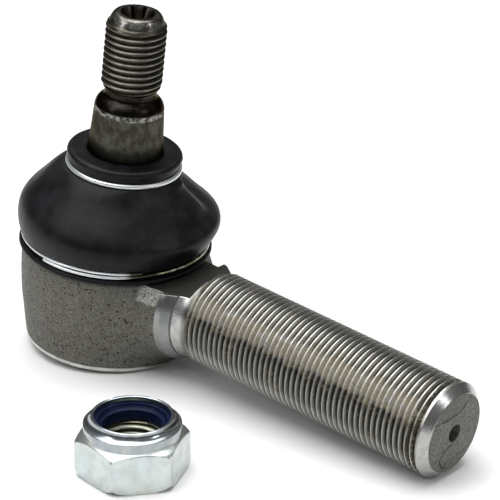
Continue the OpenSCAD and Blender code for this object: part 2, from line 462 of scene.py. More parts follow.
def shoulder_and_bore(shape, a, edge_r):
    """Faced shoulder in to the collar, then collar, ring groove, mouth, bore and rolled rim."""
    r = edge_r + (COLLAR_R - edge_r) * np.linspace(0, 1, 15)[:, None]
    flat = polar(r, a, 0)
    flat[..., 2] = shoulder_height(flat[..., 0], flat[..., 1])
    shape.grid(flat, FLAT)
    inner = chain([COLLAR_R, SHOULDER_Z], [COLLAR_R, 25.4], [19.4, 25.8], [19.4, 27.5], [COLLAR_R, 27.9],
                  [COLLAR_R, 28.8], arc([20.1, 28.9], [19.8, 29.18], 0.05, 3), [19.7, 29.2], [14.5, 29.2],
                  arc([14.4, 29.18], [14.15, 28.95], 0.05, 3), [11.6, 23], [11.6, 22.6], [16, 19],
                  [16, 3.05], [17.1, 3.05], [17.1, 1.15], [15.7, 1.15],
                  arc([15.5, 1.0], [16.3, 0.02], 0.22, 6), [16.6, 0], [18.4, 0], [FOOT_R, 0])
    inner = dense(inner, 1.2)
    shape.grid(polar(inner[:, :1], a, inner[:, 1:]), BORE)


def faced(shape, p, slot, shift=0):
    """Adds a shank grid with the shoulder's cut taken off everything within its reach."""
    w = p @ SHANK[:3, :3].T + SHANK[:3, 3]
    reach = np.hypot(w[..., 0], w[..., 1])
    high = w[..., 2] > SHOULDER_Z
    near = high & (np.abs(reach - FACING_R) < 0.24)
    x = np.sqrt(np.maximum(FACING_R ** 2 - w[..., 1] ** 2, 0))
    w[..., 0] = np.where(near, x, w[..., 0])
    w[..., 2] = np.where(high & (reach < FACING_R), SHOULDER_Z - 0.008, w[..., 2])
    first = shape.count
    shape.grid(w, slot, shift=shift)
    mid = w.reshape(-1, 3)[shape.quads[-1] - first].mean(axis=1)
    cut = (mid[:, 2] < SHOULDER_Z) & (mid[:, 2] > SHOULDER_Z - 0.02)
    cut &= np.hypot(mid[:, 0], mid[:, 1]) < FACING_R
    shape.slots[-1] = np.where(cut, FLAT, shape.slots[-1])


def neck_and_thread(shape, a):
    """Turned neck (a cone, a fine line, then a hollow down to the run-out) and the shank thread."""
    neck = chain([12.95, 24.6], [12.8, 25.4], [12.66, 25.9], [11.98, 27.1],
                 arc([11.42, 28.1], [11.36, 28.16], 0, 1), [11.27, 28.2],
                 arc([11.22, 28.3], [10.42, 30.9], 0.13, 9), [RUN_OUT_R, THREAD_FROM])
    neck = dense(neck, 0.16)
    faced(shape, polar(neck[:, :1], a, neck[:, 1:]), NECK)

    s, radius, per = helix(THREAD_FROM, THREAD_TO, SHANK_R, 1.25, a)
    wear = np.roll(polar(14, a, s), 1, -1)
    radius = radius - 0.018 * np.clip(waves(wear, 3.5, 21) + 0.2, 0, 1)
    fade = 1 - smooth(THREAD_FROM, 32.5, s) + smooth(97.5, 98.3, s)
    radius = radius + (SHANK_R - radius) * fade
    radius = np.minimum(radius, np.interp(s, [THREAD_FROM, 32.25], [RUN_OUT_R, 11.0]))
    radius = np.where(s >= THREAD_TO - 0.001, SHANK_R, radius)
    radius = np.where(s <= THREAD_FROM + 0.001, RUN_OUT_R, radius)
    faced(shape, polar(radius, a, s), THREAD, per)


def shank_tip(shape, cols):
    """Chamfer, end face and the lathe centre's hole."""
    e = SHANK_END
    tip = chain([SHANK_R, THREAD_TO], [9.28, e - 0.1], [9.15, e - 0.03])
    face = chain([9.15, e - 0.03], [9.08, e], [2.05, e])
    hole = chain([2.05, e], [1.95, e - 0.08], [0.72, e - 2.1], [0.7, e - 2.55], [0.0005, e - 2.6])
    for outline, step, slot in ((tip, 0.25, CHAMFER), (face, 0.35, END), (hole, 0.4, HOLE)):
        shape.turn(dense(outline, step), slot, cols, SHANK)


def make_housing(materials):
    """One forging; its slots are the names above."""
    shape = Shape()
    # Finer steps on the shank's side
    a = np.radians(np.concatenate([np.arange(-48, 48, 0.2), np.arange(48, 312, 0.6)]))
    shoulder_and_bore(shape, a, forged_wall(shape, a))
    cols = 480
    neck_and_thread(shape, round_angles(cols))
    shank_tip(shape, cols)
    return shape.make("housing_forging", materials, sharp=32)


# ---------------------------------------------------------------- ball stud


def make_stud(materials):
    """Slots: ball and stem, taper, shoulder, thread, nose, socket."""
    shape = Shape()
    cols = 240
    steps = np.linspace(0, 1, 9)[1:]
    ball = [[12 * math.cos(t), 12 * math.sin(t)] for t in np.linspace(-1.139, 0.968, 60)]
    lower = chain([0.0005, -10.9], [4.9, -10.9], ball, [6.8, 10.1], [6.8, 13],
                  [[6.8 + 2.27 * (1 - math.cos(math.pi * t)) / 2, 13 + 14.5 * t] for t in steps])
    taper = chain([9.07, 27.5], [8.055, 43.85], [8.04, 44.1], [7.96, 44.5])
    shoulder = chain([7.96, 44.5], [7.8, 44.95], [7.52, 45.5], [7.1, 46.02], [6.62, 46.45],
                     [6.22, 46.85], [6.04, 47.3], [6.0, 47.6], [6.0, 47.95], [6.03, STUD_THREAD_FROM])
    for slot, (outline, step) in enumerate(((lower, 0.8), (taper, 0.5), (shoulder, 0.12))):
        shape.turn(dense(outline, step), slot, cols, STUD)

    a = round_angles(cols)
    s, radius, per = helix(STUD_THREAD_FROM, STUD_THREAD_TO, STUD_R, 59.65, a)
    radius = radius + (STUD_R - radius) * smooth(62.9, STUD_THREAD_TO - 0.01, s) ** 2
    limit = np.interp(s, [STUD_THREAD_FROM, 48.35, 49.9, 63.9, 64.3, STUD_THREAD_TO],
                      [6.03, 6.1, STUD_R, STUD_R, 6.82, 6.42])
    shape.grid(polar(np.minimum(radius, limit), a, s), 3, shift=per, place=STUD)
    nose = chain([6.42, STUD_THREAD_TO], [6.28, 65.0], [5.85, 65.9], [5.5, 66.45], [5.22, 66.7],
                 [4.9, 66.8], [4.4, STUD_TOP], [4.1, STUD_TOP])
    shape.turn(dense(nose, 0.2), 4, cols, STUD)

    # Conical socket with eight radial notches, so a key can hold the stud: radius, depth, notch
    notch = np.clip(1 - np.abs(angle_gap(a * 8, 0.3 * 8)) / 1.15, 0, 1)
    socket = [(4.1, 0, 0), (3.86, 0.02, 0), (3.7, 0.22, 0.75), (3.35, 1.0, 0.95), (2.95, 2.0, 0.95),
              (2.5, 3.1, 0.8), (2.2, 3.9, 0.5), (2.0, 4.2, 0.2), (0.0005, 4.35, 0)]
    rows = [polar(r + cut * notch, a, STUD_TOP - deep) for r, deep, cut in socket]
    shape.grid(np.array(rows), 5, place=STUD)
    return shape.make("ball_stud_pin", materials, sharp=34)


# ---------------------------------------------------------------- dust boot and its rings

BOOT = np.array([  # height, radius on the side at 221 degrees, radius on the side at 41 degrees
    [24.27, 20.30, 20.30], [24.26, 22.20, 22.30], [24.34, 22.50, 22.58], [24.60, 22.66, 22.70],
    [24.90, 22.66, 22.70], [25.20, 22.52, 22.56], [25.40, 22.10, 22.10], [25.50, 21.55, 21.55],
    [25.60, 21.36, 21.36], [27.52, 21.36, 21.36], [27.63, 21.60, 21.60], [27.70, 22.05, 22.05],
    [27.80, 22.34, 22.40], [28.10, 22.60, 22.62], [29.00, 22.94, 23.02], [30.00, 23.22, 23.50],
    [31.00, 23.46, 23.86], [32.00, 23.62, 23.98], [33.00, 23.64, 23.72], [34.00, 23.54, 22.79],
    [35.00, 23.30, 21.29], [36.00, 22.80, 19.86], [37.00, 22.07, 18.56], [38.00, 21.13, 17.42],
    [39.00, 20.12, 16.33], [40.00, 19.15, 15.24], [41.00, 18.20, 14.33], [42.00, 17.20, 13.64],
    [43.00, 16.10, 13.26], [43.70, 15.20, 13.00], [44.20, 14.30, 12.80], [44.50, 13.30, 12.62],
    [44.66, 12.55, 12.38], [44.80, 12.28, 12.28], [45.30, 12.28, 12.28], [45.46, 12.55, 12.55],
    [45.62, 13.00, 12.80], [45.85, 13.26, 12.98], [46.40, 13.36, 13.10], [47.50, 13.44, 13.44],
    [47.90, 13.34, 13.34], [48.18, 13.14, 13.14], [48.36, 12.86, 12.86], [48.45, 12.50, 12.50]])


def boot_place(a, z, r):
    """Boot points at azimuth a, height z and radius r; the upper part leans with the stud."""
    axis = STUD[:3, 2]
    w = smooth(26, 34, z)
    s = (z - BALL[2]) / axis[2]
    cx = BALL[0] + axis[0] * s * w
    cy = BALL[1] + axis[1] * s * w
    tilt = smooth(36, 45, z)
    x, y = r * np.cos(a), r * np.sin(a)
    lift = -(x * axis[0] + y * axis[1]) / axis[2] * tilt
    return np.stack([cx + x, cy + y, z + lift], -1)


def boot_fold(a, z):
    """Radius added where the squeezed wall has folded: a ridge, the hollow behind it and a bulge."""
    g = angle_gap(a, math.radians(33))
    band = smooth(34.6, 38.0, z) * smooth(44.4, 42.8, z)
    ridge = smooth(-1.2, -0.12, g) * smooth(0.13, -0.12, g)
    hollow = np.exp(-((g - 0.16) / 0.22) ** 2)
    bulge = np.exp(-((g - 0.75) / 0.35) ** 2)
    return band * (1.25 * ridge + 0.5 * bulge - 0.8 * hollow)


def relax(v, keep):
    """Evens out a run of numbers where keep is false."""
    w = v.copy()
    for _ in range(14):
        m = (w[:-2] + 2 * w[1:-1] + w[2:]) / 4
        w[1:-1] = np.where(keep[1:-1], w[1:-1], m)
    return w


def travelled(outline):
    """How far along an outline each of its points is."""
    return np.r_[0, np.cumsum(np.linalg.norm(np.diff(outline, axis=0), axis=1))]


def make_boot(materials):
    """Slots: rubber, flange."""
    shape = Shape()
    a = round_angles(420)
    # The leaning stud squeezes the boot on its own side, so the wall comes in sooner there
    side = ((1 - np.cos(a - math.radians(221))) / 2) ** 1.15
    left = dense(BOOT[:, :2], 0.28)
    zs = left[:, 0]
    right = np.interp(travelled(left), travelled(BOOT[:, :2]), BOOT[:, 2])
    keep = (zs < 28.2) | (zs > 44.0)
    left, right, zs = (relax(v, keep) for v in (left[:, 1], right, zs))

    z = zs[:, None] + 0 * a
    r = left[:, None] + (right - left)[:, None] * side + boot_fold(a, z)
    p = boot_place(a, z, r)
    ripple = 0.06 * waves(p, 13, 41) + 0.02 * waves(p, 4, 42)
    r = r + ripple * smooth(28.4, 30, z) * smooth(44, 42, z)
    shape.grid(boot_place(a, z, r), 0)

    # Flange top, hole round the stud, and the inside wall back to the lip
    def ring(r, z):
        return boot_place(a, z + 0 * a, r + 0 * a)

    top = [ring(r, z) for r, z in [
        (12.5, 48.45), (12.2, 48.47), (11.5, 48.48), (10.2, 48.5), (9.1, 48.48), (8.9, 48.4),
        (8.82, 48.2), (8.8, 47.0), (8.85, 46.0), (8.95, 45.2), (9.6, 44.7), (10.6, 44.3)]]
    shape.grid(np.array(top), 1)
    wall = [top[-1]]
    for z in np.arange(43.6, 28.4, -0.8):
        near, far = np.interp(z, zs, left), np.interp(z, zs, right)
        wall.append(ring(np.maximum(near + (far - near) * side + boot_fold(a, z) - 1.75, 11.0), z))
    wall += [ring(r, z) for r, z in [
        (21.2, 28.1), (20.45, 27.9), (20.25, 27.7), (19.6, 27.35), (19.55, 25.9), (20.25, 25.5),
        (20.25, 24.4), (20.3, 24.27)]]
    shape.grid(np.array(wall), 0)
    return shape.make("dust_boot_rubber", materials, sharp=48)


def make_wire(name, path, radius, materials, closed=False, cols=20):
    """Round wire along a path of points, in millimetres, with cut ends if it isn't closed."""
    path = np.array(path, float)
    if closed:
        tangent = np.roll(path, -1, 0) - np.roll(path, 1, 0)
    else:
        tangent = np.gradient(path, axis=0)
    tangent /= np.linalg.norm(tangent, axis=1)[:, None]
    out = path.copy()
    out[:, 2] = 0
    out /= np.linalg.norm(out, axis=1)[:, None]
    out -= tangent * np.sum(out * tangent, 1)[:, None]
    out /= np.linalg.norm(out, axis=1)[:, None]
    side = np.cross(tangent, out)
    a = round_angles(cols)[None, :, None]
    p = path[:, None] + radius * (np.cos(a) * out[:, None] + np.sin(a) * side[:, None])
    shape = Shape()
    if closed:
        shape.grid(np.concatenate([p, p[:1]]), 0)
    else:
        dome = [(0.0005, 0.1), (0.45, 0.08), (0.8, 0.03), (1.0, -0.06)]
        ends = [np.array([path[k] + (p[k] - path[k]) * f + tangent[k] * way * d * radius for f, d in dome])
                for k, way in ((0, -1), (-1, 1))]
        shape.grid(np.concatenate([ends[0], p[1:-1], ends[1][::-1]]), 0)
    return shape.make(name, materials, sharp=40)


def upper_ring_path():
    """A circle about the stud, in the groove under the flange."""
    return polar(12.95, round_angles(300), 29.47) @ STUD[:3, :3].T + BALL


def lower_ring_path():
    """A bit more than one turn, its first end lying under the second."""
    start, turns = math.radians(264.5), 1.18
    t = np.linspace(0, 1, 420) * turns
    a = start + t * TAU
    z = np.interp(t, [0, 0.05, 0.135, 0.18, 0.6, 1, 1.06, 1.13, turns],
                  [26.14, 26.02, 26.02, 26.36, 26.55, 27.02, 27.12, 27.1, 26.96])
    z = np.convolve(np.pad(z, 5, "edge"), np.ones(11) / 11, "valid")
    r = 21.84 - 0.22 * smooth(turns - 0.05, turns, t)
    return polar(r, a, z)


# ---------------------------------------------------------------- lock nut


def hexagon(shape, a):
    """Foot, six flats and the rounded top, each row a radius and a height for every angle."""
    turn = math.radians(-7.4)
    faces = np.stack([np.maximum(np.cos(a - turn - math.radians(30 + 60 * k)), 0) for k in range(6)])
    hexr = 11.0 / np.sum(faces ** 170, 0) ** (1 / 170)
    cone_r = [10.62, 11.3, 11.8, 12.2, 12.5, 12.62, 12.8]
    cone_z = [9.4, 9.08, 8.82, 8.55, 8.3, 8.0, 7.2]
    low_z = np.interp(hexr, [11.3, 11.9, 12.3, 12.6, 12.8], [0, 0.35, 0.75, 1.25, 1.8])
    high_z = np.interp(hexr, cone_r, cone_z)
    rows = [(10.2, 0), (np.minimum(hexr, 11.3) - 0.12, 0), (np.minimum(hexr, 11.3) - 0.03, 0.04),
            (np.minimum(hexr, 11.32), 0.12), (hexr - 0.03, low_z + 0.12), (hexr, low_z + 0.2)]
    rows += [(hexr, low_z + 0.2 + (high_z - low_z - 0.38) * t) for t in np.linspace(0.1, 0.9, 9)]
    rows += [(hexr, high_z - 0.16), (hexr - 0.02, high_z - 0.05), (hexr - 0.07, high_z + 0.02)]
    for t in (0.12, 0.25, 0.4, 0.55, 0.7, 0.85):
        r = hexr - 0.06 + (10.72 - hexr + 0.06) * t
        rows.append((r - 0.04, np.maximum(np.interp(r, cone_r, cone_z), high_z)))
    rows += [(10.72, 9.35), (10.62, 9.42), (10.58, 9.6)]
    shape.grid(np.array([polar(r, a, z) for r, z in rows]), 0, place=NUT)


def make_nut(materials):
    """Slots: hexagon, collar, thread."""
    shape = Shape()
    cols = 480
    a = round_angles(cols)
    hexagon(shape, a)
    mouth_r, foot_r = 7.12, 7.45
    barrel = chain([10.58, 9.6], [10.62, 10.2], [10.64, 11.3],
                   arc([10.62, 11.6], [8.95, 13.42], 0.5, 14),
                   arc([8.82, 13.48], [8.32, 13.3], 0.12, 6), [8.25, 13.1], [8.25, 12.26])
    pocket = chain([8.25, 12.26], [9.1, 12.26], [9.1, 8.5], [7.5, 8.5], [mouth_r, NUT_THREAD_TO])
    shape.turn(dense(barrel, 0.25), 1, cols, NUT)
    shape.turn(dense(pocket, 1.0), 1, cols, NUT)

    s, radius, per = helix(NUT_THREAD_FROM, NUT_THREAD_TO, 7.08, 0.35, a, inside=True)
    limit = np.interp(s, [0.0, NUT_THREAD_FROM, 1.0, 7.7, NUT_THREAD_TO], [7.5, foot_r, 6.0, 6.0, mouth_r])
    radius = np.maximum(radius, limit)
    radius = np.where(s >= NUT_THREAD_TO - 0.001, mouth_r, radius)
    radius = np.where(s <= NUT_THREAD_FROM + 0.001, foot_r, radius)
    shape.grid(polar(radius, a, s), 2, shift=per, place=NUT)
    foot = dense(chain([foot_r, NUT_THREAD_FROM], [7.55, 0.0], [10.2, 0.0]), 0.6)
    shape.turn(foot, 0, cols, NUT)
    return shape.make("lock_nut_steel", materials, sharp=28)


def make_insert(materials):
    """Plain nylon ring in the nut's collar."""
    top = 12.22
    outline = chain([9.05, 8.55], [9.05, top - 0.02], [8.9, top], [7.75, top - 0.02],
                    arc([7.55, top - 0.06], [6.52, top - 1.15], 0.22, 8), [6.5, top - 1.4], [6.5, 8.95],
                    [6.6, 8.68], [6.8, 8.55], [9.05, 8.55])
    shape = Shape().turn(dense(outline, 0.4), 0, 240, NUT)
    return shape.make("nut_insert_nylon", materials, sharp=50)


# ---------------------------------------------------------------- materials


def forged_skin():
    """Shot-blasted forging: mottled grey-brown scale with small dark pits and a bright trimmed patch."""
    n = Nodes("forged_skin")
    x, y, z = n.xyz
    tall = n.join(x, y, n.mul(z, 0.22))
    mottle = n.noise(0.3, 4, 0.6)
    grain = n.noise(3.6, 5, 0.75)
    streak = n.noise(2.6, 4, 0.7, tall)
    tone = n.mix(n.step(mottle, 0.3, 0.7), (0.106, 0.102, 0.086), (0.138, 0.134, 0.115))
    tone = n.over(tone, n.step(grain, 0.5, 0.64), 0.65, (0.28, 0.275, 0.24))
    tone = n.over(tone, n.step(grain, 0.5, 0.37), 0.7, (0.048, 0.043, 0.033))
    tone = n.over(tone, n.step(streak, 0.52, 0.72), 0.3, (0.235, 0.23, 0.21))
    tone = n.over(tone, n.step(streak, 0.48, 0.3), 0.35, (0.075, 0.07, 0.058))
    # The upper band is darker
    tone = n.over(tone, n.step(z, 16, 24), 0.22, (0.085, 0.082, 0.072))
    size = n.noise(0.5, 3, 0.6)
    pit = n.step(n.plus(n.cells(0.85), n.mul(size, 0.45)), 0.45, 0.39)
    dots = n.step(n.plus(n.cells(1.7), n.mul(size, 0.4)), 0.46, 0.36)
    holes = n.math("MAXIMUM", pit, n.mul(dots, 0.85))
    tone = n.over(tone, holes, 0.9, (0.018, 0.011, 0.006))
    # Trimmed flash
    f = n.sway(n.along(FLASH_N, FLASH @ FLASH_N), grain, 0.35)
    foot = n.sway(z, n.noise(1.2, 3, 0.6), 1.4)
    patch = n.all(n.step(f, -0.28, -0.1), n.step(x, 18.6, 19.6), n.step(foot, 20.4, 21.2),
                  n.step(y, 0.0, -2.0))
    rag = n.noise(4.5, 3, 0.7, n.join(x, y, n.mul(z, 0.5)))
    patch_tone = n.mix(n.step(rag, 0.4, 0.62), (0.11, 0.105, 0.095), (0.74, 0.73, 0.705))
    tone = n.mix(patch, tone, patch_tone)
    rough = n.blend(patch, n.blend(n.step(grain, 0.4, 0.7), 0.66, 0.5), 0.38)
    relief = n.plus(n.mul(grain, 0.6), n.mul(n.noise(8, 3, 0.6), 0.4))
    bump = n.bumps((relief, 0.1, 0.55), (n.minus(1.0, holes), 0.12, 0.7), (n.mul(rag, patch), 0.5, 0.9))
    return n.surface(tone, rough, bump, metal=0.62)


def machined(name, base, rough, metal=1.0, place=np.eye(4), ring=14.0, ring_depth=0.02, blotch=0.25,
             radial=False):
    """Turned steel: fine rings about an axis and light blotches."""
    n = Nodes(name)
    u, v, w = n.local(place)
    lines = n.lines(ring, n.length2(u, v) if radial else w)
    blot = n.noise(0.5, 4, 0.6)
    fine = n.noise(5, 3, 0.6)
    dark = tuple(c * 0.55 for c in base)
    tone = n.mix(n.mul(n.step(blot, 0.42, 0.7), blotch * 2), base, dark)
    tone = n.over(tone, n.step(lines, 0.45, 0.25), 0.28, dark)
    rr = n.sway(rough, blot, 0.25)
    rr = n.plus(rr, n.mul(lines, 0.05), clamp=True)
    bump = n.bumps((lines, ring_depth, 0.6), (fine, 0.02, 0.35))
    return n.surface(tone, rr, bump, metal=metal)


def shoulder_flat():
    """The faced shoulder: dark, with faint turning arcs about the housing axis."""
    n = Nodes("shoulder_flat")
    x, y, z = n.xyz
    r = n.length2(x, y)
    arcs = n.lines(5.5, r, 3, 0.75)
    grain = n.noise(2.8, 4, 0.6)
    tone = n.mix(n.step(grain, 0.4, 0.62), (0.009, 0.008, 0.006), (0.032, 0.029, 0.023))
    tone = n.over(tone, n.step(arcs, 0.52, 0.75), 0.5, (0.05, 0.048, 0.04))
    bump = n.bumps((arcs, 0.05, 0.8), (grain, 0.12, 0.8))
    return n.surface(tone, n.blend(grain, 0.42, 0.66), bump, metal=0.35)


def neck_steel():
    """Turned neck: a dull cone, a crease painted dark as shade, then the hollow painted bright as a highlight and
    its dark run-out, with painted shade on the lower side.
    """
    n = Nodes("neck_steel")
    u, v, w = n.local(SHANK)
    rings = n.lines(5, w, 3, 0.75)
    blot = n.noise(0.5, 4, 0.65)
    fine = n.noise(4, 4, 0.65)
    # Painted highlight: the hollow past the crease is much brighter than the cone.
    tone = n.mix(n.step(w, 28.1, 28.4), (0.29, 0.3, 0.3), (0.66, 0.67, 0.66))
    tone = n.over(tone, n.step(blot, 0.45, 0.7), 0.4, (0.2, 0.2, 0.185))
    tone = n.over(tone, n.step(rings, 0.46, 0.28), 0.45, (0.16, 0.16, 0.15))
    tone = n.over(tone, n.step(w, 30.0, 31.2), 0.8, (0.09, 0.086, 0.072))
    # Painted shade: the lower side of the neck is darker.
    tone = n.over(tone, n.step(v, 4.5, 1.0), 0.45, (0.22, 0.22, 0.205))
    # Painted shade: the crease is darkened, broken up by noise.
    crease = n.near(w, 28.16, 0.3, 0.04)
    crease = n.mul(crease, n.blend(fine, 0.45, 0.9))
    tone = n.mix(crease, tone, (0.045, 0.043, 0.036))
    rough = n.blend(crease, n.blend(blot, 0.22, 0.34), 0.6)
    bump = n.bumps((rings, 0.04, 0.6), (fine, 0.02, 0.35))
    return n.surface(tone, rough, bump, metal=1.0)


def shank_steel():
    """Cut thread: bright crests, darker grooves, tan cutting dirt caught here and there."""
    n = Nodes("shank_thread_steel")
    u, v, w = n.local(SHANK)
    r = n.length2(u, v)
    high = n.step(r, SHANK_R - 0.12, SHANK_R - 0.02)
    low = n.step(r, SHANK_R - 0.3, SHANK_R - 0.85)
    across = n.math("ARCTAN2", v, u)
    polar = n.join(n.mul(across, 11.0), n.mul(w, 0.55), 0.0)
    dirt = n.noise(0.42, 5, 0.68, polar)
    crumbs = n.noise(2.6, 4, 0.72)
    tone = n.mix(low, (0.29, 0.287, 0.265), (0.105, 0.101, 0.085))
    tone = n.mix(high, tone, (0.56, 0.56, 0.54))
    # Painted reflection on the near side: a dark band where the dark surroundings would reflect, with a painted
    # highlight above it
    side = n.step(u, 1.0, -3.0)
    painted_dark_reflection = n.all(n.step(v, 4.9, 3.2), n.step(v, -5.2, -2.0), side)
    tone = n.over(tone, painted_dark_reflection, 0.6, (0.075, 0.073, 0.06))
    painted_highlight = n.all(n.step(v, 4.0, 5.4), n.step(v, 8.8, 7.2), side)
    tone = n.over(tone, painted_highlight, 0.42, (0.8, 0.79, 0.75))
    band = n.near(across, 2.5, 0.5, 0.12)
    dirty = n.plus(dirt, n.mul(band, 0.17))
    tan = n.all(n.minus(1.0, n.mul(high, 0.55)), n.step(dirty, 0.555, 0.7), n.step(crumbs, 0.38, 0.52))
    tone = n.over(tone, tan, 0.8, (0.35, 0.298, 0.205))
    muck = n.all(n.step(crumbs, 0.56, 0.7), n.step(dirt, 0.4, 0.6), n.minus(1.0, n.mul(high, 0.6)))
    tone = n.over(tone, muck, 0.8, (0.035, 0.03, 0.018))
    last = n.all(n.step(w, 94.6, 95.6), n.minus(1.0, high), n.step(n.noise(0.9, 3, 0.6), 0.4, 0.52))
    tone = n.over(tone, last, 0.85, (0.04, 0.033, 0.012))
    muck = n.math("MAXIMUM", muck, last)
    cover = n.math("MAXIMUM", n.mul(tan, 0.8), muck)
    rough = n.blend(cover, n.blend(high, 0.34, 0.24), 0.75)
    metal = n.blend(cover, 1.0, 0.25)
    fine = n.noise(7, 3, 0.6, n.join(u, v, n.mul(w, 2.5)))
    bump = n.bumps((fine, 0.035, 0.4), (crumbs, 0.08, 0.35))
    return n.surface(tone, rough, bump, metal=metal)


def end_face():
    """Sheared end of the shank: grey ground steel with two flow cracks and small rust freckles."""
    n = Nodes("shank_end_face")
    x, y, z = n.xyz
    h = n.minus(z, SHANK_Z)
    wob = n.mul(n.minus(n.noise(0.9, 4, 0.65), 0.5), 0.9)
    yy, hh = n.plus(y, wob), n.minus(h, wob)

    def stroke(points):
        best = None
        for (ay, ah), (by, bh) in zip(points[:-1], points[1:]):
            ly, lh = by - ay, bh - ah
            q = ly * ly + lh * lh
            py, ph = n.minus(yy, ay), n.minus(hh, ah)
            t = n.plus(n.mul(py, ly / q), n.mul(ph, lh / q), clamp=True)
            d = n.length2(n.minus(py, n.mul(t, ly)),
                          n.minus(ph, n.mul(t, lh)))
            best = d if best is None else n.math("MINIMUM", best, d)
        return best

    upper = stroke([(-8.5, 4.9), (-6.2, 4.7), (-2.8, 4.5), (1.2, 4.8), (4.4, 7.3), (4.9, 8.6)])
    lower = stroke([(-0.2, -2.5), (-1.8, -3.0), (-3.5, -3.5), (-4.5, -5.3), (-3.5, -7.2), (-2.2, -7.7)])
    broken = n.step(n.noise(2.0, 2, 0.5), 0.36, 0.5)
    crack = n.math("MAXIMUM", n.mul(n.step(upper, 0.42, 0.16), broken), n.step(lower, 0.36, 0.14))
    grain = n.noise(2.4, 5, 0.8)
    tone = n.mix(n.step(grain, 0.4, 0.6), (0.062, 0.061, 0.05), (0.215, 0.215, 0.19))
    coarse = n.noise(1.1, 4, 0.7)
    tone = n.over(tone, n.step(coarse, 0.5, 0.66), 0.45, (0.06, 0.056, 0.042))
    speck = n.step(n.cells(1.6), 0.24, 0.14)
    tone = n.over(tone, speck, 0.6, (0.045, 0.038, 0.026))
    above = n.mul(n.step(h, 4.2, 5.2), n.step(y, 3.2, 1.6))
    tone = n.over(tone, above, 0.45, (0.075, 0.075, 0.065))
    rust = n.step(n.cells(1.1), 0.17, 0.08)
    tone = n.over(tone, rust, 0.7, (0.13, 0.042, 0.024))
    tone = n.over(tone, crack, 0.9, (0.026, 0.021, 0.009))
    bump = n.bumps((grain, 0.05, 0.5), (n.minus(1.0, crack), 0.15, 0.8))
    return n.surface(tone, n.blend(grain, 0.5, 0.62), bump, metal=0.55)


def stud_metal(name, bright, dark, rough, streaks=0.0, oil=0.0, worn=None, foot=None):
    """Hardened stud steel, with upright grinding streaks, darkening from oil, worn edges and, below foot, a
    painted shadow.
    """
    n = Nodes(name)
    u, v, w = n.local(STUD)
    turn = n.math("ARCTAN2", v, u)
    around = n.mul(turn, 8.5)
    long = n.join(n.mul(n.length2(u, v), 0.2), around, n.mul(w, 0.22))
    upright = n.noise(1.5, 5, 0.7, long)
    grain = n.noise(3.0, 4, 0.65)
    blot = n.noise(0.45, 4, 0.6)
    tone = n.mix(n.step(blot, 0.35, 0.7), dark, bright)
    if streaks:
        tone = n.over(tone, n.step(upright, 0.42, 0.66), streaks, tuple(min(1, c * 2.0) for c in bright))
        tone = n.over(tone, n.step(upright, 0.5, 0.3), streaks, dark)
    if worn is not None:
        a, b, amount = worn
        at = n.sway(w, grain, 0.9)
        edge = n.all(n.step(at, a - 0.25, a + 0.1), n.step(at, b + 0.25, b - 0.1),
                     n.step(n.noise(0.9, 3, 0.65), 0.42, 0.56))
        tone = n.over(tone, edge, amount, (0.5, 0.49, 0.45))
    if oil:
        tone = n.over(tone, n.step(grain, 0.52, 0.7), oil, (0.055, 0.045, 0.02))
    # Painted shadow: below foot the steel darkens, where the taper goes into the boot.
    if foot is not None:
        at = n.sway(w, blot, 3.0)
        tone = n.over(tone, n.step(at, foot + 2.2, foot - 0.6), 0.85, (0.012, 0.011, 0.009))
    rr = n.sway(rough, grain, 0.3, clamp=True)
    bump = n.bumps((upright, 0.03, 0.5 if streaks else 0.1), (grain, 0.03, 0.35))
    return n.surface(tone, rr, bump, metal=1.0, Specular_Tint=(0.5, 0.48, 0.44))


def stud_thread():
    """Rolled stud thread: worn crests over oiled brown-black grooves."""
    n = Nodes("stud_thread_steel")
    u, v, w = n.local(STUD)
    r = n.length2(u, v)
    high = n.step(r, STUD_R - 0.14, STUD_R - 0.02)
    grain = n.noise(2.6, 4, 0.65)
    blot = n.noise(0.6, 3, 0.6)
    tone = n.mix(high, (0.08, 0.075, 0.06), (0.25, 0.245, 0.225))
    tone = n.over(tone, n.step(blot, 0.45, 0.7), 0.45, (0.055, 0.051, 0.041))
    tone = n.over(tone, n.step(grain, 0.54, 0.7), 0.5, (0.1, 0.085, 0.045))
    rough = n.blend(grain, 0.18, 0.42)
    bump = n.bumps((grain, 0.05, 0.5))
    return n.surface(tone, rough, bump, metal=1.0, Specular_Tint=(0.55, 0.52, 0.46))


def rubber(name, rough=0.4, gloss=0.17):
    """Black moulded rubber: faint matt bloom, painted shade on the lower belly, fine grain, dust specks and a
    mould line.
    """
    n = Nodes(name)
    x, y, z = n.xyz
    bloom = n.noise(0.16, 4, 0.6)
    scuff = n.noise(1.1, 5, 0.7, n.join(n.mul(x, 0.5), n.mul(y, 0.5), z))
    tone = n.mix(n.step(bloom, 0.42, 0.62), (0.003, 0.003, 0.0037), (0.0088, 0.0092, 0.0106))
    # Painted shade: darker from the belly down.
    tone = n.over(tone, n.step(z, 33.0, 29.5), 0.6, (0.0022, 0.0022, 0.0026))
    tone = n.over(tone, n.step(scuff, 0.6, 0.78), 0.4, (0.026, 0.026, 0.027))
    specks = n.step(n.cells(0.55), 0.045, 0.025)
    tone = n.over(tone, specks, 0.5, (0.1, 0.09, 0.06))
    rr = n.sway(rough, bloom, 0.28)
    rr = n.plus(rr, n.mul(n.step(scuff, 0.55, 0.75), 0.1), clamp=True)
    line = n.near(z, 29.05, 0.12, 0.02)
    bump = n.bumps((n.noise(6, 3, 0.6), 0.02, 0.3), (scuff, 0.06, 0.25), (line, 0.08, 0.5))
    return n.surface(tone, rr, bump, Specular_IOR_Level=gloss)


